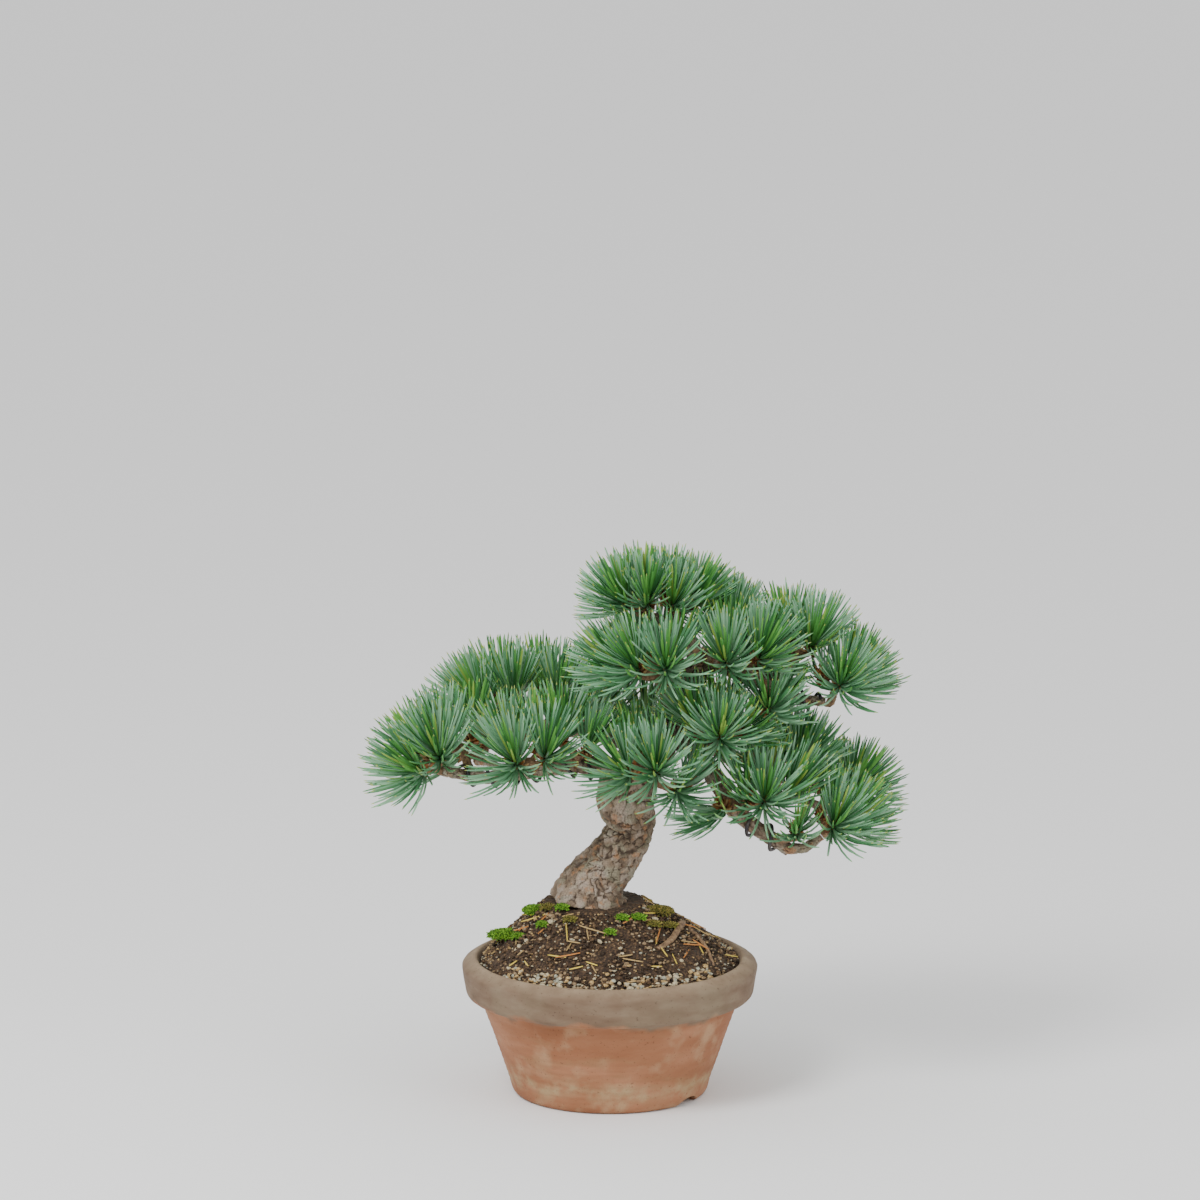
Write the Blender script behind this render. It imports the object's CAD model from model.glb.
"""Looks of a small white pine trained as a potted tree: bark, needles, soil, moss, clay and wire.

The tables of the trunk, boughs and masses, and the rules that grow them, are those of the solids,
in millimetres; meshes are handed over in metres. Finer needles grow in the same places.
"""
import itertools
import math
import random

import bmesh
import bpy
import numpy as np
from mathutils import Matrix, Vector


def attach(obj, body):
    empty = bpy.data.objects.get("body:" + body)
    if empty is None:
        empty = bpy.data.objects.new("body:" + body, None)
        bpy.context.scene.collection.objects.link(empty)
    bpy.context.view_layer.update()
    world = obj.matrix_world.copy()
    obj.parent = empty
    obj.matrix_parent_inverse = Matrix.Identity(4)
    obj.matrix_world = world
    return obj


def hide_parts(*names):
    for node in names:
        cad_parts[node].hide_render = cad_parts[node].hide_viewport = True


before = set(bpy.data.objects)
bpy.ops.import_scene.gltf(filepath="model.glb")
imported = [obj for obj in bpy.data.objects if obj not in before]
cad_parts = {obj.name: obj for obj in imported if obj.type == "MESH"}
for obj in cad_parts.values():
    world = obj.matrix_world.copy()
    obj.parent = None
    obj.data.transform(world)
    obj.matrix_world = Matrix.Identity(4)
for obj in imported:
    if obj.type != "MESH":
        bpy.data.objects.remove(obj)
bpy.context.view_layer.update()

MM = 0.001
GAP = 0.3            # clearance between neighbouring solids
GOLDEN = math.radians(137.508)

# The pot: an unglazed training pot, turned on a wheel, with a heavy rim band
POT_HEIGHT = 70.0
RIM_RADIUS = 75.2
BAND_HEIGHT = 20.0
BASE_RADIUS = 49.5
FOOT_ROUND = 3.0
FLOOR = 7.0
FLOOR_RADIUS = 44.0
MOUTH_RADIUS = 65.6  # inside, where the soil meets the wall
LIP = 6.8
NOTCH_ANGLES = (-36.0, -177.0, 74.0)   # where the foot is cut through for the drain water, degrees
NOTCH_WIDTH = 18.0
NOTCH_HEIGHT = 4.2
NOTCH_DEPTH = 19.0

# The soil is heaped up to the foot of the trunk
SOIL_EDGE = 66.3
SOIL_TOP = 98.0
CROWN_OF_SOIL = -8.0  # the heap's top lies this far to the side of the pot's middle
CROWN_RADIUS = 24.0
HEAP_CURVE = 0.85

# Cushions of moss: place on the heap, half its width, depth and height, and its tone
MOSS = {
    "moss_left": (-52.0, -6.0, 10.0, 7.0, 3.6, "green"),
    "moss_left_upper": (-38.0, -4.0, 5.5, 5.0, 3.0, "green"),
    "moss_right": (24.0, -6.0, 8.0, 6.0, 2.6, "olive"),
}

# Roots that show on the heap: x, y and rise over the soil along each, and its two radii
ROOTS = {
    "root_right": ([(36.5, -1, -0.5), (35, -12, 1.4), (31, -28, 1.2), (24, -37, -0.6)], 2.0, 1.3),
    "root_thin": ([(39, -2, -0.4), (44, -10, 0.8), (49, -19, 0.7), (52, -29, -0.3)], 1.1, 0.8),
}

# The trunk's heart line: x, y, z and radius, from the flat cut at the soil to its end
TRUNK = [
    (-10.0, 0.0, 98.3, 17.2), (-9.4, 0.0, 103.5, 15.8), (-6.0, 0.5, 110.5, 14.4),
    (-1.0, 1.0, 117.5, 13.4), (5.0, 2.5, 125.5, 12.4), (10.0, 4.5, 132.5, 11.9),
    (11.5, 4.5, 138.5, 11.8), (9.5, 1.0, 144.0, 13.0), (7.5, -2.5, 150.5, 14.8),
    (8.5, -3.0, 157.5, 14.9), (12.0, -1.0, 165.0, 13.0), (18.5, 2.5, 173.0, 11.0),
    (26.0, 6.0, 181.5, 9.4), (32.5, 8.0, 191.0, 8.4), (36.0, 8.0, 201.5, 7.8),
    (39.0, 5.5, 211.5, 7.4), (44.0, 2.5, 219.0, 6.8), (51.0, 1.0, 225.0, 6.0),
]
FLARE_ROOTS = 5      # root ridges round the foot of the trunk
FLARE_HEIGHT = 14.0
FLARE_DEPTH = 0.22

# Boughs: the limb each leaves, the share of that limb's length where it forks, its bends after
# the fork, and its radius where it leaves and at its end
BOUGHS = {
    "bough_left": ("trunk", 0.505, [(-4, -4, 168), (-16, -4, 170), (-28, -7, 169), (-44, -6, 166),
                                    (-62, -9, 164), (-75, -9, 166), (-84, -11, 168)], 6.0, 2.5),
    "bough_left_rear": ("bough_left", 0.60, [(-54, 4, 164), (-60, 17, 166), (-66, 31, 163)], 2.9, 2.0),
    "bough_left_back": ("trunk", 0.60, [(4, 14, 178), (-14, 25, 181), (-32, 31, 182), (-49, 34, 184)],
                        5.0, 2.2),
    "bough_left_deep": ("bough_left_back", 0.52, [(-24, 40, 175), (-32, 49, 168)], 2.8, 2.0),
    "bough_right_lower": ("trunk", 0.60, [(33, 2, 181.5), (45, -3, 174), (54, -6, 161), (62, -10, 148),
                                          (75, -13, 138), (90, -14, 128)], 6.2, 3.4),
    "bough_right_end": ("bough_right_lower", 0.985, [(98, -14, 129), (106, -13, 135)], 3.0, 2.2),
    "bough_right_back": ("bough_right_lower", 0.58, [(72, 2, 149), (88, 13, 149), (106, 19, 143)],
                         3.2, 2.1),
    "bough_centre": ("bough_right_lower", 0.20, [(47, -8, 178), (52, -13, 182)], 3.2, 2.3),
    "bough_right_upper": ("trunk", 0.96, [(60, 0, 221), (76, 3, 210), (94, 5, 202), (108, 4, 200)],
                          4.6, 2.3),
    "bough_top_right": ("bough_right_upper", 0.44, [(84, 8, 212), (91, 11, 218)], 2.9, 2.1),
    "bough_leader": ("trunk", 0.915, [(42, 10, 227), (34, 12, 235), (24, 11, 241), (17, 8, 244)], 4.4, 2.4),
    "bough_top_front": ("trunk", 0.86, [(33, -6, 212), (28, -12, 217)], 4.2, 2.7),
    "bough_rear": ("trunk", 0.68, [(31, 22, 184), (27, 36, 175)], 4.0, 2.3),
    "bough_rear_right": ("bough_rear", 0.50, [(47, 32, 172), (62, 39, 160)], 2.9, 2.1),
    "bough_top_rear": ("trunk", 0.79, [(43, 17, 212), (54, 26, 213), (69, 35, 204)], 3.8, 2.2),
}

# Masses of needles: the limb each grows on, the share of its length (1 is its tip), the heart that
# its shoots spread from, how far they lean over to x and y, how many shoots, how far apart, and
# how long the needles are
MASSES = {
    "mass_left_tip": ("bough_left", 1, (-88, -12, 171), (-0.85, -0.15), 3, 7, 29),
    "mass_left_upper": ("bough_left", 0.84, (-75, 4, 177), (-0.15, 0.05), 2, 7, 30),
    "mass_left_front": ("bough_left", 0.50, (-41, -15, 174), (-0.10, -0.20), 4, 9, 30),
    "mass_left_inner": ("bough_left", 0.27, (-19, -9, 178), (0.30, -0.10), 2, 7, 28),
    "mass_left_rear": ("bough_left_rear", 1, (-68, 36, 166), (-0.55, 0.40), 2, 8, 29),
    "mass_left_back": ("bough_left_back", 1, (-55, 34, 190), (-0.20, 0.0), 3, 8, 30),
    "mass_left_crest": ("bough_left_back", 0.62, (-31, 36, 192), (0.10, 0.10), 2, 8, 29),
    "mass_left_deep": ("bough_left_deep", 1, (-36, 54, 171), (-0.15, 0.60), 2, 8, 29),
    "mass_left_heart": ("bough_left_back", 0.28, (-7, 31, 184), (0.05, 0.15), 2, 6, 27),
    "mass_centre_front": ("trunk", 0.53, (19, -24, 171), (-0.20, -0.20), 4, 9, 29),
    "mass_centre_low": ("trunk", 0.50, (35, -22, 160), (0.25, -0.20), 2, 5, 27),
    "mass_centre_right": ("bough_centre", 1, (55, -18, 188), (0.05, -0.15), 4, 9, 27),
    "mass_top_front": ("bough_top_front", 1, (24, -17, 222), (-0.15, -0.15), 4, 9, 29),
    "mass_top_left": ("bough_top_front", 0.62, (9, -13, 219), (-1.00, -0.05), 1, 0, 28),
    "mass_apex": ("bough_leader", 1, (15, 6, 248), (-0.10, 0.0), 3, 5, 26),
    "mass_crest": ("bough_leader", 0.52, (33, 10, 246), (0.15, 0.0), 3, 6, 26),
    "mass_top_centre": ("bough_right_upper", 0.14, (64, -9, 223), (0.0, -0.15), 3, 9, 29),
    "mass_top_right": ("bough_top_right", 1, (95, 12, 224), (0.05, 0.05), 2, 7, 29),
    "mass_right_upper": ("bough_right_upper", 1, (113, 3, 208), (0.15, 0.0), 3, 6, 28),
    "mass_right_middle": ("bough_right_upper", 0.52, (82, -5, 198), (0.05, -0.20), 2, 6, 28),
    "mass_top_rear": ("bough_top_rear", 0.45, (58, 25, 229), (0.0, 0.05), 2, 6, 28),
    "mass_crown_rear": ("bough_top_rear", 1, (73, 40, 206), (0.30, 0.45), 2, 7, 29),
    "mass_crown_back": ("trunk", 0.72, (22, 34, 212), (-0.15, 0.35), 2, 9, 30),
    "mass_rear": ("bough_rear", 1, (25, 45, 177), (-0.05, 0.65), 2, 8, 29),
    "mass_rear_right": ("bough_rear_right", 1, (66, 44, 162), (0.25, 0.50), 2, 8, 29),
    "mass_right_front": ("bough_right_lower", 0.66, (77, -18, 155), (0.15, -0.15), 4, 9, 31),
    "mass_right_skirt": ("bough_right_lower", 0.55, (64, -24, 152), (-0.45, -0.25), 2, 6, 28),
    "mass_right_bend": ("bough_right_lower", 0.90, (93, -24, 137), (0.0, -0.20), 1, 0, 26),
    "mass_right_tip": ("bough_right_end", 1, (111, -12, 139), (0.30, -0.05), 3, 6, 28),
    "mass_right_back": ("bough_right_back", 1, (112, 21, 148), (0.20, 0.20), 2, 7, 28),
    "mass_right_inner": ("bough_right_back", 0.45, (89, 12, 164), (0.10, 0.10), 2, 7, 29),
}

FAN = 0.45           # how far side shoots turn outwards
STEM_AHEAD = 2.5     # a stem runs straight on from its bough's tip this far

# Training wire: the limb it is wound round, from and to which share of its length, and its turns
WIRES = {
    "wire_left": ("bough_left", 0.21, 0.95, 5.5),
    "wire_right": ("bough_right_lower", 0.72, 0.985, 2.2),
    "wire_top": ("bough_right_upper", 0.66, 0.98, 2.2),
}
WIRE_RADIUS = 0.9

# Shoots, as in the solids
SHOOT = 6.4          # length of shoot that carries needles
STEM_RADIUS = 2.0
TWIG_RADII = [1.6, 1.5, 1.6, 1.1]  # from the heart of a mass to a shoot's tip

# Camera of the photo, which looks slightly down on the pot from the front
CAMERA_DISTANCE = 4.0
CAMERA_RISE = math.radians(11.96)
CAMERA_AIM = (-0.005, 0.0, 0.2532)
CAMERA_LENS = 240.0
CAMERA_SENSOR = 36.0

# The studio, in metres: half the floor's width, the strength of even white light from all sides,
# and each lamp's place, its width and its watts
FLOOR_HALF = 6.0
DAYLIGHT = 1.05
LAMP_AIM = (0, 0, 0.15)
LAMPS = {
    "key": ((-0.7, -0.9, 1.3), 0.6, 20),
    "fill": ((1.1, -0.9, 0.7), 0.9, 5),
}

# Bark: width of its plates, height of its relief, distance between rings, corners on a ring
TRUNK_BARK = (4.2, 1.3, 0.5, 260)
BOUGH_BARK = (3.0, 0.6, 0.6, 56)
ROOT_BARK = (2.0, 0.25, 0.6, 28)

# Twigs and wire: distance between rings, and corners on a ring
TWIG_GRID = (0.6, 14)
WIRE_GRID = (0.5, 12)

# The pot's outline: distance between its points, and corners on a ring
POT_STEP = 0.8
POT_COLS = 240

# The heap: rings, corners on a ring, and how far down its hidden foot goes
SOIL_ROWS = 130
SOIL_COLS = 330
SOIL_FOOT = SOIL_EDGE - 12

# Loose grains on the heap: how many, between which shares of its rise and which angles round it,
# their sizes, which tones they take, and how often each if not equally often
GRAINS = [
    (4200, (0.02, 0.97), (0, 360), (0.4, 1.2), (0, 1, 2), (0.5, 0.35, 0.15)),
    (1500, (0.02, 0.97), (0, 360), (0.35, 0.9), (3, 4, 5, 2, 1), None),
    (260, (0.0, 0.14), (215, 325), (0.8, 1.7), (3, 4, 5, 2), None),
    (110, (0.0, 0.9), (0, 360), (1.0, 1.9), (3, 5, 2, 1), None),
]
STONE_FLAT = 0.75
STONE_ROUGH = 0.22

# Leaves on a cushion of moss and on a thin patch, a patch's height, and the patches: place and
# half their width
CUSHION_LEAVES = 1500
PATCH_LEAVES = 260
PATCH_HEIGHT = 1.2
PATCHES = [(-31, -12, 4.0), (-24, -18, 3.0), (-34, -22, 2.5), (-20, -27, 3.0), (6, -26, 3.0),
           (14, -22, 4.0), (22, -22, 3.5), (-46, -18, 3.0), (0, -36, 2.5), (30, -16, 4.0)]

FALLEN = 110             # dead needles on the heap
FALLEN_LENGTHS = (4, 15)
FALLEN_RISE = 1.6        # they lie this far over the heap's smooth surface

# Fine needles
NEEDLES_A_SHOOT = 215
NEEDLE_HALF = 0.66       # from a needle's middle line to its corners
NEEDLE_ROOT = 0.9        # from the shoot's middle line to where its needles leave
NEEDLE_CLEAR = 0.7       # least gap between a needle's middle line and a limb
NEEDLE_RINGS = (0.0, 0.28, 0.55, 0.8, 0.95, 1.0)
NEEDLE_TAPER = (0.75, 1.0, 1.0, 0.92, 0.6, 0.12)
FARTHEST_ROUND = math.radians(98)
LOWEST_TIP = 0.55        # share of its length that a needle's tip may hang below its shoot's base
SPACE_SLACK = 3.0        # fine needles may lean this far past the plane between two shoots
SCALES_A_SHOOT = 60
NEEDLE_GROUPS = 5        # pieces over which the masses are shared out

# How often each outer tone, each inner tone and a tip of its own tone come up on needles
OUTER_TONES = (0.36, 0.30, 0.24, 0.10)
INNER_TONES = (0.4, 0.35, 0.25)
TIP_TONE = 7
TIPS = 0.42

# Plain tones dealt out by spray over joined leaves and needles: name, sRGB colour and roughness
SPRAYS = {
    "needles": [("needle_green", "4f9140", 0.42), ("needle_bright", "68a84a", 0.42),
                ("needle_deep", "2c6430", 0.45), ("needle_yellowish", "8fae4a", 0.45),
                ("needle_bloom", "8ab592", 0.5), ("needle_blue", "74a680", 0.5),
                ("needle_sea", "4c8356", 0.5), ("needle_tip", "9fae58", 0.5)],
    "sheaths": [("sheath_brown", "6b4427", 0.7), ("sheath_orange", "9c6434", 0.7),
                ("sheath_tan", "a98a5c", 0.7)],
    "green": [("moss_green", "5c8a1c", 0.9), ("moss_light", "7aa62c", 0.9), ("moss_deep", "3c6412", 0.9)],
    "olive": [("moss_olive", "6c6a26", 0.9), ("moss_straw", "8c7d3e", 0.9), ("moss_dark", "4a4a1a", 0.9)],
    "dead": [("dead_tan", "a58a5a", 0.8), ("dead_yellow", "c9b04e", 0.8), ("dead_orange", "b5763a", 0.8)],
}

# Soil and grit: name, size of the grain, and three sRGB tones from low to high
EARTH = ("damp_potting_soil", 1.2, "1f160f", "3a2a1c", "5c4630")
GRIT = [
    ("dark_crumb", 0.8, "1d140d", "33261a", "4a3826"),
    ("brown_crumb", 0.8, "3b2b1d", "59442f", "73593d"),
    ("tan_crumb", 0.8, "6a543b", "8a7355", "a08b6c"),
    ("cream_grit", 0.8, "8f8268", "b0a386", "cbbf9f"),
    ("grey_grit", 0.8, "7b7a6b", "9b9a88", "b5b4a2"),
    ("ochre_grit", 0.8, "8d6f42", "b09260", "c8ad7e"),
]

# METRE / size is the scale of a pattern with features of that many millimetres. Pores and grit are
# finer than a render shows, so their sizes here are as coarse as they need to be
METRE = 1000.0

# A Mix node of colours: socket 0 takes the share, 6 and 7 the colours, and 2 gives the result
MIX = {"out": 2, "data_type": "RGBA"}


def run_of(line):
    """Distance along a line at each of its points."""
    return np.concatenate([[0.0], np.cumsum(np.linalg.norm(np.diff(line, axis=0), axis=1))])


def smooth_line(stations, step):
    """A Catmull-Rom curve through rows of numbers, with a row about every step along it."""
    rows = np.array(stations, float)
    padded = np.vstack([2 * rows[0] - rows[1], rows, 2 * rows[-1] - rows[-2]])
    out = []
    for a, b, c, d in zip(padded, padded[1:], padded[2:], padded[3:]):
        count = max(1, round(np.linalg.norm((c - b)[:3]) / step))
        t = (np.arange(count) / count)[:, None]
        out.append(0.5 * (2 * b + (c - a) * t + (2 * a - 5 * b + 4 * c - d) * t ** 2
                          + (3 * b - a - 3 * c + d) * t ** 3))
    return np.vstack([*out, rows[-1]])


def unit(vector):
    """A vector scaled to length one."""
    vector = np.asarray(vector, float)
    return vector / np.linalg.norm(vector)


def units(vectors):
    """Vectors scaled to length one, along their last axis."""
    return vectors / np.linalg.norm(vectors, axis=-1, keepdims=True)


def xyz(x, y, z):
    """Three coordinates, stretched to one shape and set side by side."""
    return np.stack(np.broadcast_arrays(x, y, z), axis=-1)


def carry_frames(line):
    """Two directions square to a line at each of its points, carried along without twist."""
    along = units(np.gradient(line, axis=0))
    across = [unit(np.cross(along[0], (0.3, 1.0, 0.2)))]
    for direction in along[1:]:
        last = across[-1]
        across.append(unit(last - direction * last.dot(direction)))
    across = np.array(across)
    return along, across, np.cross(along, across)


def arc_points(centre, radius, start, end, count):
    """Points on an arc in the profile's plane; angles in degrees."""
    angles = np.radians(np.linspace(start, end, count))
    return [(centre[0] + radius * math.cos(a), centre[1] + radius * math.sin(a)) for a in angles]


def pot_profile():
    """The pot's cross-section, from the middle of its underside, up its outside and down its inside."""
    band_low = POT_HEIGHT - BAND_HEIGHT
    neck = RIM_RADIUS - 9.0
    floor_edge = FLOOR_RADIUS + (MOUTH_RADIUS - FLOOR_RADIUS) * 2 / (SOIL_EDGE - FLOOR)
    return np.array([
        (0.0, 0.0),
        *arc_points((BASE_RADIUS - FOOT_ROUND, FOOT_ROUND), FOOT_ROUND, -90, -20, 3),
        (BASE_RADIUS + 1.6, 7.0), (neck - 0.7, band_low - 2.0), (neck + 1.2, band_low),
        *arc_points((RIM_RADIUS - 4.9, band_low + 3.1), 3.0, -80, -14, 3),
        *arc_points((RIM_RADIUS - 2.0, POT_HEIGHT - 5.0), 2.0, 0, 65, 3),
        *arc_points((RIM_RADIUS - LIP, POT_HEIGHT - 1.4), 1.4, 80, 175, 4),
        (MOUTH_RADIUS, SOIL_EDGE), (floor_edge, FLOOR + 2), (FLOOR_RADIUS - 3, FLOOR),
        (0.0, FLOOR)])


def heap_ring(share):
    """Centre x, radius and height of a level ring of the heap: share 0 at its edge, 1 at its top."""
    edge = MOUTH_RADIUS - GAP
    return (CROWN_OF_SOIL * share, edge + (CROWN_RADIUS - edge) * share,
            SOIL_EDGE + (SOIL_TOP - SOIL_EDGE) * share ** HEAP_CURVE)


def heap_place(share, angle):
    """Places on the heap: at an angle round the level ring at a share of its rise."""
    centre, radius, height = heap_ring(share)
    return xyz(centre + radius * np.cos(angle), radius * np.sin(angle), height)


def soil_height(x, y):
    """Height of the heap of soil at a place, found by halving between its edge and its top."""
    low, high = 0.0, 1.0
    for _ in range(20):
        share = (low + high) / 2
        centre, radius, _ = heap_ring(share)
        if math.hypot(x - centre, y) > radius:
            high = share
        else:
            low = share
    return heap_ring(low)[2]


class Limb:
    """A trunk, bough, root, twig or wire: its heart line, its radii and the directions round it."""

    def __init__(self, line, radii):
        self.line = line
        self.radii = radii
        self.run = run_of(line)
        self.along, self.across, self.up = carry_frames(line)

    def at(self, share):
        """Place, radius and row at a share of the limb's length."""
        here = share * self.run[-1]
        place = np.array([np.interp(here, self.run, self.line[:, k]) for k in range(3)])
        radius = np.interp(here, self.run, self.radii)
        return place, radius, int(np.argmin(np.abs(self.run - here)))


def plan_limbs():
    """Heart lines and radii of the trunk and the boughs, each bough from its fork."""
    line = smooth_line(TRUNK, 4.5)
    limbs = {"trunk": Limb(line[:, :3], line[:, 3])}
    for name, (parent, share, bends, base, tip) in BOUGHS.items():
        fork = limbs[parent].at(share)[0]
        line = smooth_line([fork, *bends], 7.0)
        run = run_of(line)
        limbs[name] = Limb(line, base + (tip - base) * (run / run[-1]) ** 0.8)
    return limbs


def side_branches(name, limbs):
    """Where branches and stems come out of a limb: share of its length and angle round it."""
    limb = limbs[name]
    lines = [limbs[child].line for child, row in BOUGHS.items() if row[0] == name]
    lines += [np.linspace(limb.at(share)[0], heart, 12)
              for carrier, share, heart, *_ in MASSES.values() if carrier == name and share < 1]
    found = []
    for line in lines:
        gaps = np.linalg.norm(line[:, None] - limb.line[None], axis=2)
        nearest = gaps.argmin(axis=1)
        outside = np.flatnonzero(gaps.min(axis=1) > limb.radii[nearest] + 1.0)
        row = nearest[outside[0]]
        way = line[outside[0]] - limb.line[row]
        angle = math.atan2(way.dot(limb.up[row]), way.dot(limb.across[row]))
        found.append((limb.run[row] / limb.run[-1], angle))
    return sorted(found)


def plan_wire(name, limbs):
    """Middle line of a wire wound evenly round a limb, shifted to pass behind each branch's foot."""
    carrier, start, end, turns = WIRES[name]
    limb = limbs[carrier]

    def even(share):
        return 2 * math.pi * turns * (share - start) / (end - start)
    knots = [(start, even(start))]
    for share, angle in side_branches(carrier, limbs):
        if start < share < end:
            behind = angle + math.pi
            knots.append((share, behind + 2 * math.pi * round((even(share) - behind) / (2 * math.pi))))
    knots.append((end, knots[-1][1] + even(end) - even(knots[-1][0])))
    shares, angles = np.array(knots).T
    steps = np.arange(angles[0], angles[-1], math.pi / 4)
    line = []
    for angle, share in zip(steps, np.interp(steps, angles, shares)):
        place, radius, row = limb.at(share)
        reach = (radius + WIRE_RADIUS + GAP) / math.cos(math.pi / 8)
        line.append(place + reach * (math.cos(angle) * limb.across[row] + math.sin(angle) * limb.up[row]))
    return np.array(line)


def plan_shoots(name):
    """The shoots of a mass, by a seeded rule: each one's base, and the way that it faces."""
    _, _, heart, lean, count, spread, _ = MASSES[name]
    turn = random.Random(name).uniform(0, 2 * math.pi)
    facing = unit((*lean, 1.0))
    shoots = []
    for k in range(count):
        angle = turn + 2 * math.pi * k / count
        out = np.array((math.cos(angle), math.sin(angle), 0.0))
        out -= facing * out.dot(facing)
        shoots.append((np.array(heart, float) + out * spread, unit(facing + FAN * out * min(spread, 1))))
    return shoots


def stem_line(name, limbs):
    """A mass's stem: straight on from its limb's tip, or out of its limb's side, to its heart, and
    its radii."""
    carrier, share, heart = MASSES[name][:3]
    limb = limbs[carrier]
    heart = np.array(heart, float)
    foot, radius, _ = limb.at(share)
    if share == 1:
        start = foot + GAP * limb.along[-1]
        ahead = start + STEM_AHEAD * limb.along[-1]
        return np.array([start, ahead, heart]), [radius * 0.95, STEM_RADIUS, STEM_RADIUS]
    middle = foot + 0.5 * (heart - foot)
    return np.array([foot, middle, heart]), [STEM_RADIUS * 1.2, STEM_RADIUS * 1.1, STEM_RADIUS]


def to_linear(hex_colour):
    """Linear red, green, blue and alpha of an sRGB hex colour."""
    values = [int(hex_colour[k:k + 2], 16) / 255 for k in (0, 2, 4)]
    linear = [v / 12.92 if v <= 0.04045 else ((v + 0.055) / 1.055) ** 2.4 for v in values]
    return (*linear, 1.0)


def smooth_noise(points, size, seed):
    """Soft random values from -1 to 1: a random number at each corner of a lattice of cubes of the
    given size, blended inside each cube by a smooth step along every axis."""
    place = points / size
    low = np.floor(place).astype(np.int64)
    share = place - low
    share = share * share * (3 - 2 * share)
    total = np.zeros(points.shape[:-1])
    for corner in itertools.product((0, 1), repeat=3):
        spot = low + corner
        mix = spot[..., 0] * 73856093 ^ spot[..., 1] * 19349663 ^ spot[..., 2] * 83492791 ^ seed * 7919
        mix = (mix ^ (mix >> 13)) * 1274126177
        value = ((mix ^ (mix >> 16)) & 0xFFFF) / 32767.5 - 1
        total += value * np.prod(np.where(corner, share, 1 - share), axis=-1)
    return total


def layered_noise(points, size, seed, layers=3):
    """Smooth noise summed over layers, each half the size and half the strength of the last."""
    return sum(smooth_noise(points, size / 2 ** k, seed + k) / 2 ** k for k in range(layers))


def cells(points, seeds):
    """Distances of each point to its nearest and second nearest seed, and which seed is nearest."""
    parts = []
    for block in np.array_split(points, max(1, len(points) // 3000)):
        gaps = ((block[:, None] - seeds[None]) ** 2).sum(axis=2)
        order = np.argpartition(gaps, 1, axis=1)[:, :2]
        pair = np.sqrt(np.take_along_axis(gaps, order, axis=1))
        parts.append(np.column_stack([pair, order[:, 0]]))
    near, far, which = np.vstack(parts).T
    return near, far, which.astype(int)


def soft_step(values, low, high):
    """0 below low, 1 above high, and a smooth cubic rise between."""
    share = np.clip((values - low) / (high - low), 0, 1)
    return share * share * (3 - 2 * share)


def new_piece(name, points, faces, mats, slot, replaces=(), slots=None, smooth=True, **layers):
    """Layers are numbers kept at each point for the material to read."""
    mesh = bpy.data.meshes.new(name)
    corners = np.concatenate([part.ravel() for part in faces])
    counts = np.concatenate([np.full(len(part), part.shape[1]) for part in faces])
    mesh.vertices.add(len(points))
    mesh.vertices.foreach_set("co", (points * MM).ravel().astype(np.float32))
    mesh.loops.add(len(corners))
    mesh.loops.foreach_set("vertex_index", corners.astype(np.int32))
    mesh.polygons.add(len(counts))
    mesh.polygons.foreach_set("loop_start", (np.cumsum(counts) - counts).astype(np.int32))
    for mat in mats:
        mesh.materials.append(mat)
    if slots is not None:
        mesh.polygons.foreach_set("material_index", slots.astype(np.int32))
    mesh.update(calc_edges=True)
    mesh.validate()
    mesh.polygons.foreach_set("use_smooth", np.full(len(mesh.polygons), smooth))
    for layer, values in layers.items():
        mesh.attributes.new(layer, "FLOAT", "POINT").data.foreach_set("value", values.astype(np.float32))
    obj = bpy.data.objects.new(name, mesh)
    bpy.context.scene.collection.objects.link(obj)
    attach(obj, "root")
    if replaces:
        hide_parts(*replaces)
    return obj


def close_rings(rings, middles):
    """A closed skin over rings of points: their points, then the middles of the first ring and of the
    last; and quads between neighbouring rings with a fan of triangles over each end."""
    rows, cols = rings.shape[:2]
    row, col = np.meshgrid(np.arange(rows - 1), np.arange(cols), indexing="ij")
    after = (col + 1) % cols
    quads = np.stack([row * cols + col, row * cols + after, (row + 1) * cols + after,
                      (row + 1) * cols + col], axis=-1).reshape(-1, 4)
    col = np.arange(cols)
    after = (col + 1) % cols
    last = (rows - 1) * cols
    fans = np.vstack([np.column_stack([after, col, np.full(cols, rows * cols)]),
                      np.column_stack([last + col, last + after, np.full(cols, rows * cols + 1)])])
    return np.vstack([rings.reshape(-1, 3), middles[0], middles[-1]]), [quads, fans]


def whole_turn(cols):
    """Even angles round a whole turn."""
    return np.linspace(0, 2 * math.pi, cols, endpoint=False)[None, :]


def tube_points(limb, step, cols, reach=lambda angle, run: 1):
    """Rings round a limb: a point lies at the heart line + radius * reach(angle, run) * the outward
    direction at that angle. Gives the rings, the outward directions and the heart line."""
    run = np.linspace(0, limb.run[-1], max(3, int(limb.run[-1] / step)))
    centre, across, up = (np.column_stack([np.interp(run, limb.run, rows[:, k]) for k in range(3)])
                          for rows in (limb.line, limb.across, limb.up))
    radius = np.interp(run, limb.run, limb.radii)
    angle = whole_turn(cols)
    out = np.cos(angle)[..., None] * units(across)[:, None] + np.sin(angle)[..., None] * units(up)[:, None]
    size = radius[:, None] * reach(angle, run[:, None])
    return centre[:, None] + size[..., None] * out, out, centre


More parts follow.
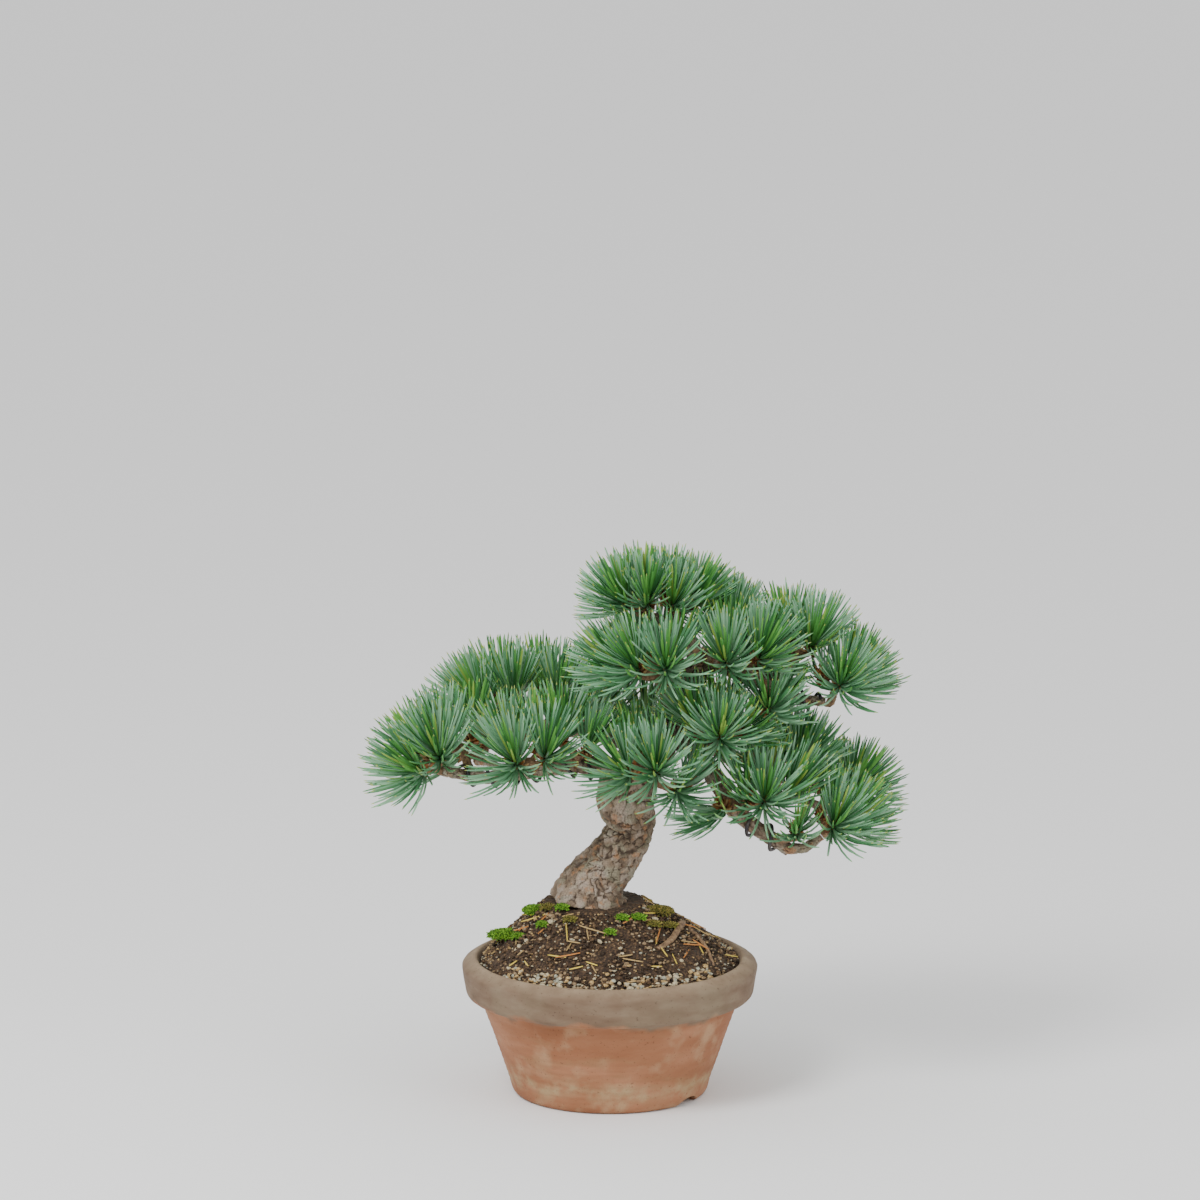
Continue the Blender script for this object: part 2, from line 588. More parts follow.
def trunk_reach(angle, run):
    """Root ridges that die away up the foot, and three slow knots, as a factor on the radius."""
    rng = random.Random(7)
    ridges = [2 * math.pi * (k + rng.uniform(-0.2, 0.2)) / FLARE_ROOTS for k in range(FLARE_ROOTS)]
    ridge = np.maximum(0, np.max([np.cos(angle - place) for place in ridges], axis=0)) ** 8
    rise = run / FLARE_HEIGHT
    flare = FLARE_DEPTH * ridge * np.exp(-2.2 * rise * rise)
    return 1 + flare + 0.045 * np.sin(3 * angle + 0.16 * run) * np.minimum(1, rise)


def bark_piece(node, limb, mat, plate, relief, step, cols, *reach):
    """A limb's bark: its tube moved out and in by flakes. Each flake is the ground nearest to one of
    many seeds, at a height from a random number and slow noise, and raised towards its upper edge.
    Cracks run where two seeds are almost equally near and along fissures, where another noise
    crosses zero; fine noise roughens all of it."""
    name = node + "_bark"
    base, out, centre = tube_points(limb, step, cols, *reach)
    rng = np.random.default_rng(len(name) * 31 + int(plate * 10))
    flat = base.reshape(-1, 3)
    area = limb.run[-1] * 2 * math.pi * limb.radii.mean()
    seeds = flat[rng.choice(len(flat), max(12, int(area / plate ** 2)), replace=False)]
    wobble = np.column_stack([layered_noise(flat, plate * 0.8, 40 + k) for k in range(3)]) * plate * 0.34
    near, far, which = cells(flat + wobble, seeds)
    chance = rng.uniform(0, 1, len(seeds))[which] - 0.5
    level = np.clip(0.5 + 0.30 * chance + 0.28 * layered_noise(flat, plate * 1.1, 23), 0, 1)
    tilt = (flat - seeds[which]) @ np.array([0.1, 0.1, 0.35]) / plate
    fissure = 1 - np.minimum(1, np.abs(layered_noise(flat, plate * 1.3, 71, 4)) / 0.12)
    crack = soft_step(far - near, 0.0, 0.16 * plate) * (1 - 0.45 * soft_step(fissure, 0.0, 1.0))
    rough = layered_noise(flat, plate * 0.5, 5, 4)
    height = relief * (crack * (0.35 + 0.9 * level + 0.5 * tilt) - 0.75) + 0.30 * relief * rough
    points, faces = close_rings(base + height.reshape(base.shape[:2])[..., None] * out, centre)
    ends = [0.5, 0.5]
    new_piece(name, points, faces, [mat], "flaking_bark", [node],
              level=np.append(level, ends), crack=np.append(crack, ends))


def wire_piece(name, limbs, mat):
    """A wound wire: a round tube along its winding, with flat ends."""
    line = smooth_line(plan_wire(name, limbs), 0.6)
    rings, _, centre = tube_points(Limb(line, np.full(len(line), WIRE_RADIUS)), *WIRE_GRID)
    new_piece(name + "_round", *close_rings(rings, centre), [mat], "training_wire", [name])


def needle_scars(_, run):
    """Rings left by old needles, as a factor on a twig's radius: a sine along it."""
    return 1 + 0.10 * np.sin(run * 4.2)


def twig_piece(name, plan, limbs, mat):
    """The stem of a mass and the twig of each of its shoots, which bends once on its way from the
    heart to the shoot's base, all ringed by the scars of old needles."""
    line, radii = stem_line(name, limbs)
    heart = line[-1]
    runs = [(np.vstack([line, heart + unit(heart - line[-2])]), [*radii, STEM_RADIUS * 0.8])]
    for base, facing in plan:
        if np.linalg.norm(base - heart) < 1.0:
            middle = base - 0.1 * facing
        else:
            middle = heart + 0.55 * (base - heart) - 0.8 * facing
        runs.append((np.array([heart, middle, base + facing, base + facing * SHOOT]), TWIG_RADII))
    points, faces = np.empty((0, 3)), []
    for rows, sizes in runs:
        rows = smooth_line(np.column_stack([rows, sizes]), 1.5)
        rings, _, centre = tube_points(Limb(rows[:, :3], rows[:, 3]), *TWIG_GRID, needle_scars)
        skin, parts = close_rings(rings, centre)
        faces += [part + len(points) for part in parts]
        points = np.vstack([points, skin])
    new_piece(name.replace("mass", "twigs"), points, faces, [mat], "flaking_bark")


def new_material(name):
    """A material with an empty node tree."""
    mat = bpy.data.materials.new(name)
    mat.use_nodes = True
    mat.node_tree.nodes.clear()
    return mat


def add(mat, kind, sockets=None, out=0, stops=(), **properties):
    """Add a node to a material and give one of its outputs. Each socket takes a number, an sRGB hex
    or a link from another output; stops are a ramp's shares and sRGB hexes; properties are its own."""
    node = mat.node_tree.nodes.new("ShaderNode" + kind)
    for key, value in properties.items():
        setattr(node, key, value)
    for key, value in (sockets or {}).items():
        if isinstance(value, bpy.types.NodeSocket):
            mat.node_tree.links.new(value, node.inputs[key])
        else:
            node.inputs[key].default_value = to_linear(value) if isinstance(value, str) else value
    for _ in stops[2:]:
        node.color_ramp.elements.new(0.5)
    for k, (share, colour) in enumerate(stops):
        node.color_ramp.elements[k].position = share
        node.color_ramp.elements[k].color = to_linear(colour)
    return node.outputs[out] if node.outputs else None


def coat(mat, colour, roughness, relief=None, depth=0.0, strength=0.0, metallic=0.0):
    """Join a colour, and a relief of the given depth in metres, to the material's shader."""
    sockets = {"Base Color": colour, "Roughness": roughness, "Metallic": metallic}
    if relief:
        sockets["Normal"] = add(mat, "Bump", {"Height": relief, "Distance": depth, "Strength": strength})
    add(mat, "OutputMaterial", {"Surface": add(mat, "BsdfPrincipled", sockets)})
    return mat


def mottle(mat, place, size, detail, *stops):
    """Patches about that many millimetres across, in the colours of the stops."""
    noise = add(mat, "TexNoise", {"Vector": place, "Scale": METRE / size, "Detail": detail})
    return add(mat, "ValToRGB", {"Fac": noise}, stops=stops)


def flaking_bark():
    """Old pine bark: dry corky flakes in greys and tans, dark brown where cracks show, with grey-green
    bloom in patches and orange inner bark here and there. Dull all over."""
    mat = new_material("flaking_pine_bark")
    place = add(mat, "TexCoord", out="Object")
    level = add(mat, "Attribute", out="Fac", attribute_name="level")
    crack = add(mat, "Attribute", out="Fac", attribute_name="crack")
    grain = add(mat, "TexNoise", {"Vector": place, "Scale": METRE / 0.7, "Detail": 5.0})
    flakes = add(mat, "ValToRGB", {"Fac": level}, stops=[
        (0.15, "54463a"), (0.38, "7a6a59"), (0.55, "918272"), (0.72, "a3978b"), (0.9, "858072")])
    for size, detail, low, high, most, colour in ((9.0, 4.0, 0.48, 0.62, 0.45, "8f937d"),
                                                  (5.0, 2.0, 0.56, 0.66, 0.6, "a5774f")):
        patch = mottle(mat, place, size, detail, (low, "000000"), (high, "ffffff"))
        share = add(mat, "Math", {0: patch, 1: most}, operation="MULTIPLY")
        flakes = add(mat, "Mix", {0: share, 6: flakes, 7: colour}, **MIX)
    corky = add(mat, "ValToRGB", {"Fac": grain}, stops=[(0.3, "4c3d32"), (0.7, "d8cfc4")])
    flakes = add(mat, "Mix", {0: 0.45, 6: flakes, 7: corky}, blend_type="OVERLAY", **MIX)
    clear = add(mat, "ValToRGB", {"Fac": crack}, stops=[(0.0, "222222"), (0.8, "ffffff")])
    colour = add(mat, "Mix", {0: clear, 6: "3f3126", 7: flakes}, **MIX)
    return coat(mat, colour, 0.92, grain, 0.0003, 0.8)


def twig_bark():
    """Young pine shoots: thin brown bark, a little shiny on top of its fine grain."""
    mat = new_material("young_pine_bark")
    place = add(mat, "TexCoord", out="Object")
    colour = mottle(mat, place, 1.6, 4.0, (0.3, "4d3a2a"), (0.55, "84684c"), (0.75, "a38a6a"))
    grain = add(mat, "TexNoise", {"Vector": place, "Scale": METRE / 0.6, "Detail": 4.0})
    return coat(mat, colour, 0.85, grain, 0.0002, 0.7)


def fired_clay():
    """Unglazed red clay, thrown on a wheel and long in use: orange wall with paler bloom and fine
    rings, a rim band gone grey-brown, and a chalky band low on the wall where water dried."""
    mat = new_material("unglazed_fired_clay")
    place = add(mat, "TexCoord", out="Object")
    level = add(mat, "SeparateXYZ", {"Vector": place}, out="Z")
    streaks = add(mat, "Mapping", {"Vector": place, "Scale": (1.0, 1.0, 3.0)})
    turned = add(mat, "Mapping", {"Vector": place, "Scale": (0.04, 0.04, 1.0)})
    wall = mottle(mat, streaks, 38.0, 6.0, (0.3, "865334"), (0.5, "946243"), (0.7, "a37253"))
    bloom = mottle(mat, place, 14.0, 8.0, (0.52, "000000"), (0.72, "ffffff"))
    wall = add(mat, "Mix", {0: bloom, 6: wall, 7: "a5805f"}, **MIX)
    stain = mottle(mat, streaks, 22.0, 7.0, (0.55, "000000"), (0.68, "bbbbbb"))
    wall = add(mat, "Mix", {0: stain, 6: wall, 7: "8f6a48"}, **MIX)
    wave = add(mat, "TexNoise", {"Vector": place, "Scale": METRE / 25.0, "Detail": 5.0})
    wavy = add(mat, "Math", {0: wave, 1: 0.020, 2: -0.010}, operation="MULTIPLY_ADD")
    height = add(mat, "Math", {0: level, 1: wavy}, operation="ADD")
    low = add(mat, "MapRange", {"Value": height, "From Min": 0.0, "From Max": 0.024})
    chalk = add(mat, "ValToRGB", {"Fac": low}, stops=[
        (0.0, "555555"), (0.2, "444444"), (0.5, "cccccc"), (0.75, "555555"), (1.0, "000000")])
    broken = mottle(mat, place, 7.0, 8.0, (0.35, "222222"), (0.65, "ffffff"))
    patchy = add(mat, "Math", {0: chalk, 1: broken}, operation="MULTIPLY")
    wall = add(mat, "Mix", {0: patchy, 6: wall, 7: "aa9c74"}, **MIX)
    band = mottle(mat, streaks, 16.0, 8.0, (0.3, "65503d"), (0.5, "715c49"), (0.7, "7c6a56"))
    dusty = mottle(mat, place, 30.0, 5.0, (0.5, "000000"), (0.7, "999999"))
    band = add(mat, "Mix", {0: dusty, 6: band, 7: "857a62"}, **MIX)
    lip = mottle(mat, place, 6.0, 8.0, (0.3, "7f6a54"), (0.7, "97836b"))
    on_lip = add(mat, "MapRange", {"Value": level, "From Min": 0.0655, "From Max": 0.0695})
    band = add(mat, "Mix", {0: on_lip, 6: band, 7: lip}, **MIX)
    on_band = add(mat, "MapRange", {"Value": height, "From Min": 0.0485, "From Max": 0.0515})
    colour = add(mat, "Mix", {0: on_band, 6: wall, 7: band}, **MIX)
    specks = mottle(mat, place, 1.3, 3.0, (0.28, "6a4a36"), (0.36, "ffffff"))
    colour = add(mat, "Mix", {0: 0.5, 6: colour, 7: specks}, blend_type="MULTIPLY", **MIX)
    sandy = add(mat, "TexNoise", {"Vector": place, "Scale": METRE / 0.8, "Detail": 4.0})
    rings = add(mat, "TexNoise", {"Vector": turned, "Scale": METRE / 1.6, "Detail": 3.0})
    relief = add(mat, "Math", {0: sandy, 1: rings}, operation="ADD")
    return coat(mat, colour, 0.88, relief, 0.0003, 0.45)


def speckled(name, size, low, middle, high):
    """Damp soil or grit: dull, rough grains of the given size, in three tones."""
    mat = new_material(name)
    place = add(mat, "TexCoord", out="Object")
    colour = mottle(mat, place, size, 6.0, (0.32, low), (0.5, middle), (0.68, high))
    grain = add(mat, "TexNoise", {"Vector": place, "Scale": METRE / size, "Detail": 6.0})
    return coat(mat, colour, 0.93, grain, 0.0003, 0.8)


def annealed_wire():
    """Training wire of soft metal: dull dark grey with faint brown tarnish and a low sheen."""
    mat = new_material("tarnished_training_wire")
    place = add(mat, "TexCoord", out="Object")
    colour = mottle(mat, place, 3.0, 4.0, (0.35, "37343a"), (0.65, "5a5552"))
    grain = add(mat, "TexNoise", {"Vector": place, "Scale": METRE / 0.5, "Detail": 4.0})
    return coat(mat, colour, 0.5, grain, 0.0001, 0.3, 0.85)


def spray(part):
    """The plain tones of living and dead leaves, which are waxy on needles and dull on moss. Each
    leaf takes one of them at random, so the joined foliage is never one colour."""
    return [coat(new_material(name), colour, roughness) for name, colour, roughness in SPRAYS[part]]


def join_rows(parts):
    """Rows of several parts, each a list of the same arrays, joined array by array."""
    return [np.concatenate(values) for values in zip(*parts)]


def one_tone(rng, count):
    """For each leaf, one of three tones for its outer face, inner faces and tip alike."""
    return np.repeat(rng.integers(0, 3, (count, 1)), 3, axis=1)


def needle_mesh(name, rows, mats, slot, replaces=()):
    """Needles as one mesh. A point at share t of a needle lies at root + way * length * t + lift *
    length * t * t, and has three corners round it: two towards the outside of the tuft, and one
    towards its axis. tones holds, for each needle, the slots of its outer face, inner faces and tip."""
    roots, ways, lifts, lengths, halves, axes, tones = rows
    shares = np.array(NEEDLE_RINGS)[None, :, None]
    size = lengths[:, None, None]
    line = roots[:, None] + ways[:, None] * size * shares + lifts[:, None] * size * shares ** 2
    along = units(ways[:, None] + 2 * lifts[:, None] * shares)
    side = np.cross(along, axes[:, None] + 0.01)
    side /= np.linalg.norm(side, axis=2)[..., None] + 1e-9
    inward = np.cross(side, along)
    half = (halves[:, None] * np.array(NEEDLE_TAPER))[..., None]
    corners = np.stack([line + half * (0.87 * side - 0.4 * inward), line + half * 0.9 * inward,
                        line - half * (0.87 * side + 0.4 * inward)], axis=2)
    rings = len(NEEDLE_RINGS)
    first = (np.arange(len(roots)) * rings * 3)[:, None, None]
    at = first + (np.arange(rings - 1) * 3)[None, :, None]
    quads, slots = [], []
    for a, b, kind in ((0, 1, 1), (1, 2, 1), (2, 0, 0)):
        quads.append(np.concatenate([at + a, at + a + 3, at + b + 3, at + b], axis=2).reshape(-1, 4))
        tone = np.repeat(tones[:, kind][:, None], rings - 1, axis=1)
        tone[:, -1] = tones[:, 2]
        slots.append(tone.ravel())
    foot = first[:, 0]
    end = foot + (rings - 1) * 3
    caps = np.vstack([end + (0, 2, 1), foot + (0, 1, 2)])
    slots = np.concatenate([*slots, tones[:, 2], tones[:, 1]])
    new_piece(name, corners.reshape(-1, 3), [np.vstack(quads), caps], mats, slot, replaces, slots, False)


def round_shoot(base, facing, polar, spin, out, ahead):
    """Where needles leave a shoot, the way each points, and the part of the shoot's facing square to
    it. polar is a needle's angle off the facing, spin its angle round it, and out and ahead are how
    far from the shoot's middle line and along it the needle starts."""
    side = unit(np.cross(facing, (0.2, 1.0, 0.1)))
    turn = np.array([side, np.cross(facing, side), facing])
    cos, sin = np.cos(spin), np.sin(spin)
    way = np.column_stack([np.sin(polar) * cos, np.sin(polar) * sin, np.cos(polar)]) @ turn
    root = np.column_stack([out * cos, out * sin, ahead]) @ turn + base
    return root, way, facing - way * (way @ facing)[:, None]


def grow_needles(name, plans, wood, homes):
    """Fine needles of a mass, by the rule of the solids carried finer: round each shoot they leave
    at even turns of the golden angle, from its tip to well behind it, the outer ones lower on the
    shoot and bending up more. One that would leave its shoot's space or touch a limb is skipped."""
    length = MASSES[name][6]
    rng = np.random.default_rng(sum(map(ord, name)))
    count = NEEDLES_A_SHOOT
    order = (np.arange(count) + 0.5) / count
    kept = []
    for base, facing in plans[name]:
        polar = FARTHEST_ROUND * order ** 0.62 + rng.normal(0, 0.07, count)
        spin = np.arange(count) * GOLDEN + rng.normal(0, 0.12, count)
        root, way, axis = round_shoot(base, facing, polar, spin, NEEDLE_ROOT, SHOOT * (1 - 0.85 * order))
        bend = np.array([0, 0, 0.55]) + 0.45 * facing
        lift = bend - way * (way @ bend)[:, None]
        lift *= (0.10 + 0.38 * order)[:, None] * rng.uniform(0.6, 1.3, (count, 1))
        size = length * rng.uniform(0.88, 1.08, count)
        shares = np.linspace(0.3, 1, 5)[None, :, None]
        line = root[:, None] + size[:, None, None] * (way[:, None] * shares + lift[:, None] * shares ** 2)
        home = base + 0.5 * length * facing
        others = homes[np.linalg.norm(homes - home, axis=1) > 0.01]
        own = ((line - home) ** 2).sum(axis=2)
        far = ((line[:, :, None] - others) ** 2).sum(axis=3)
        inside = ((far - own[..., None]) / (2 * np.linalg.norm(others - home, axis=1))).min(axis=(1, 2))
        apart = (np.linalg.norm(line[:, :, None] - wood[0], axis=3) - wood[1]).min(axis=(1, 2))
        high = line[:, -1, 2] > base[2] - LOWEST_TIP * length
        good = (inside > -SPACE_SLACK) & (apart > NEEDLE_CLEAR) & high
        tone = rng.choice(4, (count, 1), p=OUTER_TONES)
        tones = np.column_stack([tone, 4 + rng.choice(3, (count, 1), p=INNER_TONES),
                                 np.where(rng.random((count, 1)) < TIPS, TIP_TONE, tone)])
        rows = (root, way, lift, size, np.full(count, NEEDLE_HALF), axis, tones)
        kept.append([values[good] for values in rows])
    return join_rows(kept)


def grow_scales(name, plans):
    """Short brown sheaths and bud scales round the foot of the needles of each shoot."""
    rng = np.random.default_rng(len(name))
    count = SCALES_A_SHOOT
    order = (np.arange(count) + 0.5) / count
    kept = []
    for base, facing in plans[name]:
        root, way, axis = round_shoot(base, facing, 0.4 + 1.3 * order, np.arange(count) * GOLDEN, 0.8,
                                      SHOOT * (1.05 - order))
        tones = one_tone(rng, count)
        lengths, halves = rng.uniform(2.5, 5.0, count), rng.uniform(0.5, 0.9, count)
        kept.append([root, way, 0.2 * axis, lengths, halves, axis, tones])
    return join_rows(kept)


def stones(name, places, sizes, slots, mats):
    """Loose grains as one mesh: each is a ball of twelve corners, its corners moved in and out at
    random, squashed, turned at random and set at its place."""
    rng = np.random.default_rng(len(places))
    bm = bmesh.new()
    bmesh.ops.create_icosphere(bm, subdivisions=1, radius=1.0)
    ball = np.array([vert.co[:] for vert in bm.verts])
    faces = np.array([[vert.index for vert in face.verts] for face in bm.faces])
    bm.free()
    turned, _ = np.linalg.qr(rng.normal(size=(len(places), 3, 3)))
    turned[:, 0] *= np.sign(np.linalg.det(turned))[:, None]
    bumpy = ball[None] * rng.uniform(1 - STONE_ROUGH, 1 + STONE_ROUGH, (len(places), len(ball), 1))
    bumpy = (bumpy * rng.uniform(0.6, 1.2, (len(places), 1, 3))) @ turned
    bumpy[..., 2] *= STONE_FLAT
    points = places[:, None] + bumpy * sizes[:, None, None]
    every = (faces[None] + (np.arange(len(places)) * len(ball))[:, None, None]).reshape(-1, 3)
    slots = np.repeat(slots, len(faces))
    new_piece(name, points.reshape(-1, 3), [every], mats, "potting_soil", (), slots, False)


def soil_piece(mat):
    """The heap: rings from its edge to its top, raised and lowered by layered noise into crumbs and
    small hollows, over a plain hidden foot inside the pot."""
    share = np.linspace(0, 1, SOIL_ROWS)[:, None]
    angle = whole_turn(SOIL_COLS)
    points = heap_place(*np.broadcast_arrays(share, angle))
    slope = xyz(0.5 * np.cos(angle), 0.5 * np.sin(angle), 0.85 + 0 * share)
    crumbs = 1.0 * layered_noise(points, 7.0, 3, 4) + 0.55 * np.abs(layered_noise(points, 2.2, 9, 2))
    points = points + slope * (crumbs * np.minimum(1, 6 * share + 0.2))[..., None]
    edge = np.hypot(points[0, :, 0], points[0, :, 1])
    points[0, :, :2] *= np.minimum(1, (MOUTH_RADIUS - GAP) / edge)[:, None]
    foot = xyz(0.93 * points[0, :, 0], 0.93 * points[0, :, 1], SOIL_FOOT)
    rings = np.concatenate([foot[None], points])
    skin = close_rings(rings, [(0, 0, SOIL_FOOT), (CROWN_OF_SOIL, 0, SOIL_TOP)])
    new_piece("soil_heap", *skin, [mat], "potting_soil", ["soil"])


def on_heap(rng, count, low, high, start=0, end=360):
    """Random places on the heap, as dense near its edge as near its top; angles in degrees."""
    share = low + (high - low) * rng.random(count) ** 1.35
    return heap_place(share, rng.uniform(math.radians(start), math.radians(end), count))


def scatter_grit(mats):
    """Grit and crumbs over the heap, and larger pale stones along its front edge, in two pieces."""
    rng = np.random.default_rng(11)
    places = np.vstack([on_heap(rng, count, *rise, *round_it) for count, rise, round_it, *_ in GRAINS])
    sizes = np.concatenate([rng.uniform(*size, count) for count, _, _, size, _, _ in GRAINS])
    slots = np.concatenate([rng.choice(tones, count, p=often) for count, _, _, _, tones, often in GRAINS])
    places[:, 2] += 0.4 * sizes + 0.5
    half = len(places) // 2
    stones("soil_crumbs", places[:half], sizes[:half], slots[:half], mats)
    stones("soil_grit", places[half:], sizes[half:], slots[half:], mats)


def cushion(name, half_size, place, mats, replaces, count):
    """A cushion of moss: a low dome dense with short leaves. Each leaf leaves the dome's lumpy skin
    about square to it, leaning and turned at random."""
    rng = np.random.default_rng(len(name))
    angle = np.arange(count) * GOLDEN
    share = np.sqrt((np.arange(count) + 0.5) / count)
    dome = np.column_stack([share * np.cos(angle), share * np.sin(angle), np.sqrt(1 - share ** 2)])
    lumps = 1 + 0.16 * smooth_noise(dome * 10, 4.0, 5)[:, None]
    places = dome * lumps * half_size * 0.86 + place
    lengths = rng.uniform(1.1, 2.0, count)
    ways = units(dome + rng.normal(0, 0.45, (count, 3)))
    axes = rng.normal(size=(count, 3))
    axes -= ways * (ways * axes).sum(axis=1)[:, None]
    tones = one_tone(rng, count)
    rows = [places, ways, 0.2 * axes, lengths, np.full(count, 0.35), axes, tones]
    needle_mesh(name, rows, mats, "green_moss", replaces)


def fallen_needles(mats):
    """Dead needles and straw in tan, yellow and orange, lying on the heap at a random angle between
    its level rings and the way down its side. One that would reach over the pot's wall is left out."""
    rng = np.random.default_rng(5)
    places = on_heap(rng, FALLEN, 0.05, 0.9)
    angle = rng.uniform(0, 2 * math.pi, FALLEN)[:, None]
    outward = units(xyz(places[:, 0] - CROWN_OF_SOIL, places[:, 1], 0))
    across = np.cross([0, 0, 1.0], outward)
    ways = units(np.cos(angle) * across + np.sin(angle) * (outward - np.array([0, 0, 0.55])))
    lengths = rng.uniform(*FALLEN_LENGTHS, FALLEN)
    places = places - ways * lengths[:, None] / 2 + np.array([0, 0, FALLEN_RISE])
    ends = places + ways * lengths[:, None]
    radius = np.maximum(np.hypot(ends[:, 0], ends[:, 1]), np.hypot(places[:, 0], places[:, 1]))
    tones = one_tone(rng, FALLEN)
    rows = [places, ways, np.tile([0, 0, 0.03], (FALLEN, 1)), lengths, np.full(FALLEN, 0.42),
            np.tile([0, 0, 1.0], (FALLEN, 1)), tones]
    needle_mesh("fallen_needles", [row[radius < MOUTH_RADIUS - 1] for row in rows], mats, "potting_soil")


def pot_piece(mat):
    """The pot: its outline, with rounded turns and a point at every step, spun round, with the low
    waves and rings that a hand leaves on the wheel. Arches are cut through its foot."""
    outline = pot_profile()
    run = run_of(outline)
    fine = np.linspace(0, run[-1], int(run[-1] / POT_STEP))
    outline = np.column_stack([np.interp(fine, run, outline[:, k]) for k in range(2)])
    for _ in range(2):
        outline[1:-1] = (outline[:-2] + 2 * outline[1:-1] + outline[2:]) / 4
    radius, height = outline[1:-1].T[..., None]
    angle = whole_turn(POT_COLS)
    points = xyz(radius * np.cos(angle), radius * np.sin(angle), height)
    rings = 0.10 * np.sin(height * 1.9) * (height > 6) * (height < 48)
    waves = 0.30 * smooth_noise(points, 30.0, 2) + 0.10 * layered_noise(points, 5.0, 6)
    calm = soft_step(height, 2.0, 9.0) * (radius > MOUTH_RADIUS * 0.6)
    points = points - xyz(np.cos(angle), np.sin(angle), 0) * ((0.45 + waves + rings) * calm)[..., None]
    skin = close_rings(points, [(0, 0, 0), (0, 0, FLOOR)])
    pot = new_piece("clay_pot", *skin, [mat], "fired_clay", ["pot"])
    tools = [notch_cutter(math.radians(degrees)) for degrees in NOTCH_ANGLES]
    for tool in tools:
        cut = pot.modifiers.new("foot_arch", "BOOLEAN")
        cut.operation = "DIFFERENCE"
        cut.solver = "MANIFOLD"
        cut.object = tool
    bpy.context.view_layer.update()
    mesh = bpy.data.meshes.new_from_object(pot.evaluated_get(bpy.context.evaluated_depsgraph_get()))
    pot.modifiers.clear()
    pot.data = mesh
    for tool in tools:
        bpy.data.objects.remove(tool, do_unlink=True)
    mesh.shade_smooth()
    mesh.set_sharp_from_angle(angle=math.radians(40))


def notch_cutter(angle):
    """A tool that cuts an arch along a radius of the foot, where drain water runs out."""
    turns = np.radians(np.linspace(0, 180, 13))
    across = NOTCH_WIDTH / 2 * np.cos(turns)
    bm = bmesh.new()
    ends = []
    for reach in (BASE_RADIUS - NOTCH_DEPTH, BASE_RADIUS + 4.0):
        end = xyz(reach * math.cos(angle) - across * math.sin(angle),
                  reach * math.sin(angle) + across * math.cos(angle),
                  NOTCH_HEIGHT * (1.4 * np.sin(turns) - 0.4))
        ends.append([bm.verts.new(place * MM) for place in end])
    low, high = ends
    for k in range(len(low)):
        after = (k + 1) % len(low)
        bm.faces.new((low[k], low[after], high[after], high[k]))
    bm.faces.new(low)
    bm.faces.new(high[::-1])
    bmesh.ops.recalc_face_normals(bm, faces=bm.faces)
    mesh = bpy.data.meshes.new("foot_arch")
    bm.to_mesh(mesh)
    bm.free()
    tool = bpy.data.objects.new("foot_arch", mesh)
    bpy.context.scene.collection.objects.link(tool)
    return tool


def stand(name, data, place, way):
    """Put a camera or lamp at a place, facing along a direction, with its top up."""
    obj = bpy.data.objects.new(name, data)
    obj.location = place
    obj.rotation_euler = Vector(way).to_track_quat("-Z", "Y").to_euler()
    bpy.context.scene.collection.objects.link(obj)
    return obj


def set_stage():
    """A plain pale floor, soft light from above and both sides, and the photo's camera."""
    mesh = bpy.data.meshes.new("floor")
    far = FLOOR_HALF
    mesh.from_pydata([(-far, -far, 0), (far, -far, 0), (far, far, 0), (-far, far, 0)], [], [(0, 1, 2, 3)])
    mesh.materials.append(coat(new_material("pale_floor"), "f4f4f4", 0.9))
    floor = bpy.data.objects.new("floor", mesh)
    bpy.context.scene.collection.objects.link(floor)
    world = bpy.data.worlds.new("studio")
    world.use_nodes = True
    sky = world.node_tree.nodes["Background"].inputs
    sky["Color"].default_value = (1, 1, 1, 1)
    sky["Strength"].default_value = DAYLIGHT
    bpy.context.scene.world = world
    for name, (place, size, watts) in LAMPS.items():
        lamp = bpy.data.lights.new(name, "AREA")
        lamp.size = size
        lamp.energy = watts
        stand(name, lamp, place, np.array(LAMP_AIM) - np.array(place))
    camera = bpy.data.cameras.new("photo_view")
    camera.lens = CAMERA_LENS
    camera.sensor_width = CAMERA_SENSOR
    back = np.array((0, -math.cos(CAMERA_RISE), math.sin(CAMERA_RISE)))
    place = np.array(CAMERA_AIM) + CAMERA_DISTANCE * back
    bpy.context.scene.camera = stand("photo_view", camera, place, -back)


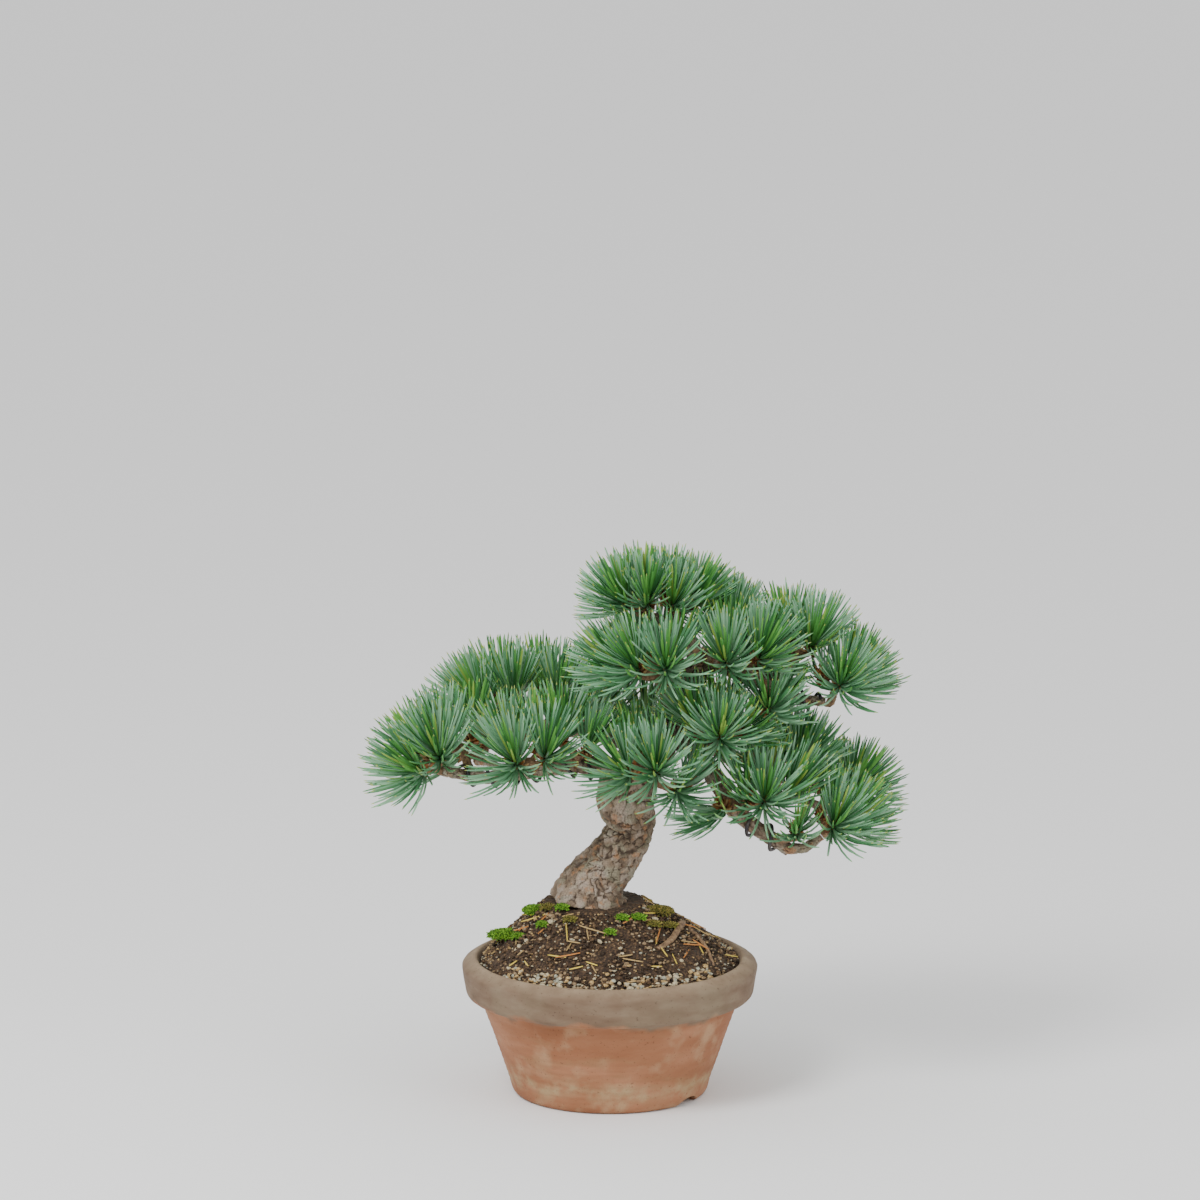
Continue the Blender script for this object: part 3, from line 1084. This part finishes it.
def make_wood(limbs):
    """Bark of the trunk and the boughs, and the wire wound on three of them."""
    bark, wire = flaking_bark(), annealed_wire()
    bark_piece("trunk", limbs["trunk"], bark, *TRUNK_BARK, trunk_reach)
    for name in BOUGHS:
        bark_piece(name, limbs[name], bark, *BOUGH_BARK)
    for name in WIRES:
        wire_piece(name, limbs, wire)


def make_ground(twig):
    """The heap of soil with its grains, moss, fallen needles and the roots that show on it."""
    soil_piece(speckled(*EARTH))
    scatter_grit([speckled(*row) for row in GRIT])
    moss = {tone: spray(tone) for tone in ("green", "olive")}
    for name, (x, y, wide, deep, tall, tone) in MOSS.items():
        place = (x, y, soil_height(x, y) + 0.3)
        cushion(name + "_leaves", (wide, deep, tall), place, moss[tone], [name], CUSHION_LEAVES)
    for k, (x, y, wide) in enumerate(PATCHES):
        place = (x, y, soil_height(x, y) + 0.8)
        tone = "green" if k % 3 else "olive"
        cushion(f"moss_patch_{k}", (wide, wide * 0.8, PATCH_HEIGHT), place, moss[tone], [], PATCH_LEAVES)
    fallen_needles(spray("dead"))
    for name, (places, thick, thin) in ROOTS.items():
        line = smooth_line([(x, y, soil_height(x, y) + rise + 0.5) for x, y, rise in places], 2.0)
        bark_piece(name, Limb(line, np.linspace(thick, thin, len(line))), twig, *ROOT_BARK)


def make_foliage(twig, limbs):
    """Needles, sheaths and twigs of all masses, by the shoots that the solids have."""
    plans = {name: plan_shoots(name) for name in MASSES}
    homes = np.array([base + 0.5 * MASSES[name][6] * facing
                      for name, plan in plans.items() for base, facing in plan])
    wood = (np.vstack([limb.line for limb in limbs.values()]),
            np.concatenate([limb.radii for limb in limbs.values()]))
    greens, browns = spray("needles"), spray("sheaths")
    for part, group in enumerate(np.array_split(list(MASSES), NEEDLE_GROUPS)):
        group = [str(name) for name in group]
        rows = join_rows([grow_needles(name, plans, wood, homes) for name in group])
        needle_mesh(f"needles_{part}", rows, greens, "pine_needles", group)
        rows = join_rows([grow_scales(name, plans) for name in group])
        needle_mesh(f"sheaths_{part}", rows, browns, "pine_needles")
    for name in MASSES:
        twig_piece(name, plans[name], limbs, twig)


limbs = plan_limbs()
twig = twig_bark()
make_wood(limbs)
pot_piece(fired_clay())
make_ground(twig)
make_foliage(twig, limbs)
set_stage()
